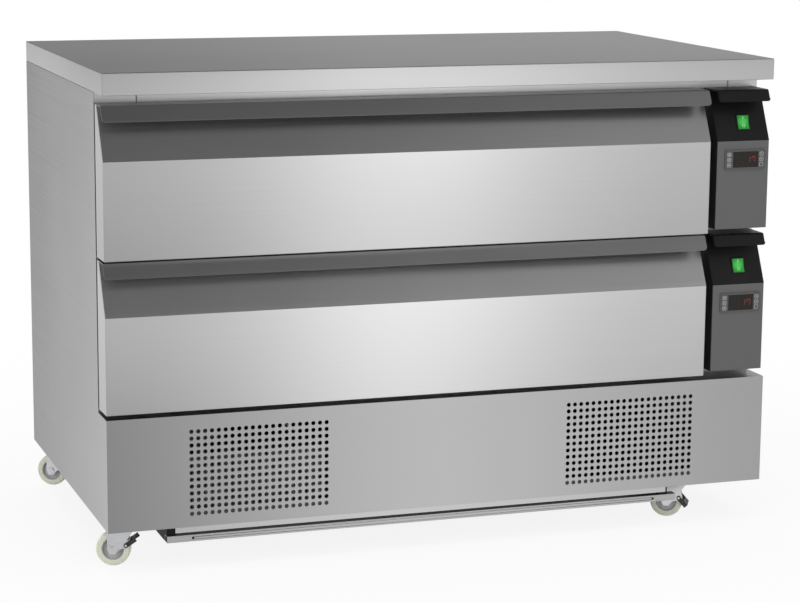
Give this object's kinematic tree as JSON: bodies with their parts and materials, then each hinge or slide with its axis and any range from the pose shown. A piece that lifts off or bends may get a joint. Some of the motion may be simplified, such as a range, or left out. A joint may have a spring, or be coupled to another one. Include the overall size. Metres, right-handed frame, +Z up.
{
  "type": "refrigerated drawer counter",
  "caption": "Undercounter refrigerator on castors with two full-width insulated drawers, grip recesses, control modules at the right and a vented base.",
  "frame": {"origin": "on the floor, under the middle of the worktop", "axes": "+X to the right along the front, +Y to the back (the drawers open towards -Y), +Z up"},
  "size_m": [1.2422, 0.7, 0.86],
  "materials": {
    "brushed_steel": "satin",
    "galvanised_steel": "matte",
    "liner_steel": "satin",
    "zinc_steel": "satin",
    "pedal_steel": "satin",
    "satin_aluminium": "satin",
    "fin_aluminium": "satin",
    "copper": "satin",
    "black_paint": "satin",
    "black_plastic": "satin",
    "fascia_grey": "matte",
    "thermostat_plastic": "satin",
    "key_plastic": "satin",
    "display_window": "gloss",
    "green_lens": "gloss",
    "fan_plastic": "satin",
    "tray_plastic": "satin",
    "foam": "matte",
    "gasket_rubber": "matte",
    "black_rubber": "matte",
    "nylon": "satin"
  },
  "bodies": {
    "cabinet": {"worktop": "brushed_steel", "left_side_panel": "brushed_steel", "right_side_panel": "brushed_steel", "rear_panel": "galvanised_steel", "base_pan": "galvanised_steel", "base_grille": "brushed_steel", "front_frame": "brushed_steel", "cavity_liners": "liner_steel", "insulation_foam": "foam", "cabinet_runners": "zinc_steel", "module_housings": "black_plastic", "control_fascias": "fascia_grey", "thermostats": "thermostat_plastic", "display_windows": "display_window", "castor_plates": "zinc_steel", "underframe": "satin_aluminium", "condenser": "fin_aluminium", "condenser_shroud": "black_plastic", "compressor": "black_paint", "drain_tray": "tray_plastic", "evaporators": "fin_aluminium", "refrigerant_pipes": "copper", "cord_gland": "black_rubber"},
    "lower_drawer": {"lower_drawer_front": "brushed_steel", "lower_front_core": "foam", "lower_gasket": "gasket_rubber", "lower_drawer_box": "liner_steel", "lower_drawer_runners": "zinc_steel"},
    "lower_middles": {"lower_runner_middles": "zinc_steel"},
    "lower_rocker": {"lower_rocker_switch": "green_lens"},
    "lower_set_key_body": {"lower_set_key": "key_plastic"},
    "lower_standby_key_body": {"lower_standby_key": "key_plastic"},
    "lower_defrost_key_body": {"lower_defrost_key": "key_plastic"},
    "lower_up_key_body": {"lower_up_key": "key_plastic"},
    "lower_down_key_body": {"lower_down_key": "key_plastic"},
    "lower_evaporator_fan_body": {"lower_evaporator_fan": "fan_plastic"},
    "upper_drawer": {"upper_drawer_front": "brushed_steel", "upper_front_core": "foam", "upper_gasket": "gasket_rubber", "upper_drawer_box": "liner_steel", "upper_drawer_runners": "zinc_steel"},
    "upper_middles": {"upper_runner_middles": "zinc_steel"},
    "upper_rocker": {"upper_rocker_switch": "green_lens"},
    "upper_set_key_body": {"upper_set_key": "key_plastic"},
    "upper_standby_key_body": {"upper_standby_key": "key_plastic"},
    "upper_defrost_key_body": {"upper_defrost_key": "key_plastic"},
    "upper_up_key_body": {"upper_up_key": "key_plastic"},
    "upper_down_key_body": {"upper_down_key": "key_plastic"},
    "upper_evaporator_fan_body": {"upper_evaporator_fan": "fan_plastic"},
    "front_left_castor": {"front_left_castor_fork": "zinc_steel"},
    "front_left_wheel": {"front_left_castor_wheel": "nylon"},
    "front_left_pedal": {"front_left_brake_pedal": "pedal_steel"},
    "front_right_castor": {"front_right_castor_fork": "zinc_steel"},
    "front_right_wheel": {"front_right_castor_wheel": "nylon"},
    "front_right_pedal": {"front_right_brake_pedal": "pedal_steel"},
    "rear_left_castor": {"rear_left_castor_fork": "zinc_steel"},
    "rear_left_wheel": {"rear_left_castor_wheel": "nylon"},
    "rear_right_castor": {"rear_right_castor_fork": "zinc_steel"},
    "rear_right_wheel": {"rear_right_castor_wheel": "nylon"},
    "condenser_fan_body": {"condenser_fan": "fan_plastic"}
  },
  "joints": [
    {"name": "lower_drawer_slide", "type": "slide", "parent": "cabinet", "child": "lower_drawer", "axis": [0, -1, 0], "range_m": [0, 0.5]},
    {"name": "lower_middle_slide", "type": "slide", "parent": "cabinet", "child": "lower_middles", "axis": [0, -1, 0], "range_m": [0, 0.25]},
    {"name": "lower_rocker_tilt", "type": "hinge", "parent": "cabinet", "child": "lower_rocker", "pos_m": [0.567, -0.32771, 0.47801], "axis": [1, 0, 0], "range_deg": [-14, 0]},
    {"name": "lower_set_key_press", "type": "slide", "parent": "cabinet", "child": "lower_set_key_body", "axis": [0, 1, 0], "range_m": [0, 0.0006], "stiffness_N_per_m": 400},
    {"name": "lower_standby_key_press", "type": "slide", "parent": "cabinet", "child": "lower_standby_key_body", "axis": [0, 1, 0], "range_m": [0, 0.0006], "stiffness_N_per_m": 400},
    {"name": "lower_defrost_key_press", "type": "slide", "parent": "cabinet", "child": "lower_defrost_key_body", "axis": [0, 1, 0], "range_m": [0, 0.0006], "stiffness_N_per_m": 400},
    {"name": "lower_up_key_press", "type": "slide", "parent": "cabinet", "child": "lower_up_key_body", "axis": [0, 1, 0], "range_m": [0, 0.0006], "stiffness_N_per_m": 400},
    {"name": "lower_down_key_press", "type": "slide", "parent": "cabinet", "child": "lower_down_key_body", "axis": [0, 1, 0], "range_m": [0, 0.0006], "stiffness_N_per_m": 400},
    {"name": "lower_evaporator_fan_spin", "type": "hinge", "parent": "cabinet", "child": "lower_evaporator_fan_body", "pos_m": [0.488, -0.133, 0.46], "axis": [1, 0, 0], "continuous": true},
    {"name": "upper_drawer_slide", "type": "slide", "parent": "cabinet", "child": "upper_drawer", "axis": [0, -1, 0], "range_m": [0, 0.5]},
    {"name": "upper_middle_slide", "type": "slide", "parent": "cabinet", "child": "upper_middles", "axis": [0, -1, 0], "range_m": [0, 0.25]},
    {"name": "upper_rocker_tilt", "type": "hinge", "parent": "cabinet", "child": "upper_rocker", "pos_m": [0.567, -0.32771, 0.74201], "axis": [1, 0, 0], "range_deg": [-14, 0]},
    {"name": "upper_set_key_press", "type": "slide", "parent": "cabinet", "child": "upper_set_key_body", "axis": [0, 1, 0], "range_m": [0, 0.0006], "stiffness_N_per_m": 400},
    {"name": "upper_standby_key_press", "type": "slide", "parent": "cabinet", "child": "upper_standby_key_body", "axis": [0, 1, 0], "range_m": [0, 0.0006], "stiffness_N_per_m": 400},
    {"name": "upper_defrost_key_press", "type": "slide", "parent": "cabinet", "child": "upper_defrost_key_body", "axis": [0, 1, 0], "range_m": [0, 0.0006], "stiffness_N_per_m": 400},
    {"name": "upper_up_key_press", "type": "slide", "parent": "cabinet", "child": "upper_up_key_body", "axis": [0, 1, 0], "range_m": [0, 0.0006], "stiffness_N_per_m": 400},
    {"name": "upper_down_key_press", "type": "slide", "parent": "cabinet", "child": "upper_down_key_body", "axis": [0, 1, 0], "range_m": [0, 0.0006], "stiffness_N_per_m": 400},
    {"name": "upper_evaporator_fan_spin", "type": "hinge", "parent": "cabinet", "child": "upper_evaporator_fan_body", "pos_m": [0.488, -0.133, 0.724], "axis": [1, 0, 0], "continuous": true},
    {"name": "front_left_castor_swivel", "type": "hinge", "parent": "cabinet", "child": "front_left_castor", "pos_m": [-0.5755, -0.29, 0.07], "axis": [0, 0, 1], "continuous": true},
    {"name": "front_left_wheel_spin", "type": "hinge", "parent": "front_left_castor", "child": "front_left_wheel", "pos_m": [-0.59404, -0.28251, 0.03], "axis": [0.3746, 0.9272, 0], "continuous": true},
    {"name": "front_left_brake_tilt", "type": "hinge", "parent": "front_left_castor", "child": "front_left_pedal", "pos_m": [-0.57179, -0.2915, 0.0385], "axis": [0.3746, 0.9272, 0], "range_deg": [0, 83]},
    {"name": "front_right_castor_swivel", "type": "hinge", "parent": "cabinet", "child": "front_right_castor", "pos_m": [0.4785, -0.29, 0.07], "axis": [0, 0, 1], "continuous": true},
    {"name": "front_right_wheel_spin", "type": "hinge", "parent": "front_right_castor", "child": "front_right_wheel", "pos_m": [0.46118, -0.28, 0.03], "axis": [0.5, 0.866, 0], "continuous": true},
    {"name": "front_right_brake_tilt", "type": "hinge", "parent": "front_right_castor", "child": "front_right_pedal", "pos_m": [0.48196, -0.292, 0.0385], "axis": [0.5, 0.866, 0], "range_deg": [-83, 0]},
    {"name": "rear_left_castor_swivel", "type": "hinge", "parent": "cabinet", "child": "rear_left_castor", "pos_m": [-0.5755, 0.27, 0.07], "axis": [0, 0, 1], "continuous": true},
    {"name": "rear_left_wheel_spin", "type": "hinge", "parent": "rear_left_castor", "child": "rear_left_wheel", "pos_m": [-0.59246, 0.2806, 0.03], "axis": [0.5299, 0.848, 0], "continuous": true},
    {"name": "rear_right_castor_swivel", "type": "hinge", "parent": "cabinet", "child": "rear_right_castor", "pos_m": [0.4785, 0.27, 0.07], "axis": [0, 0, 1], "continuous": true},
    {"name": "rear_right_wheel_spin", "type": "hinge", "parent": "rear_right_castor", "child": "rear_right_wheel", "pos_m": [0.46052, 0.27877, 0.03], "axis": [0.4384, 0.8988, 0], "continuous": true},
    {"name": "condenser_fan_spin", "type": "hinge", "parent": "cabinet", "child": "condenser_fan_body", "pos_m": [-0.3495, -0.258, 0.144], "axis": [0, 1, 0], "continuous": true}
  ],
  "couplings": [
    {"joint": "lower_middle_slide", "follows": "lower_drawer_slide", "ratio": 0.5},
    {"joint": "upper_middle_slide", "follows": "upper_drawer_slide", "ratio": 0.5}
  ]
}
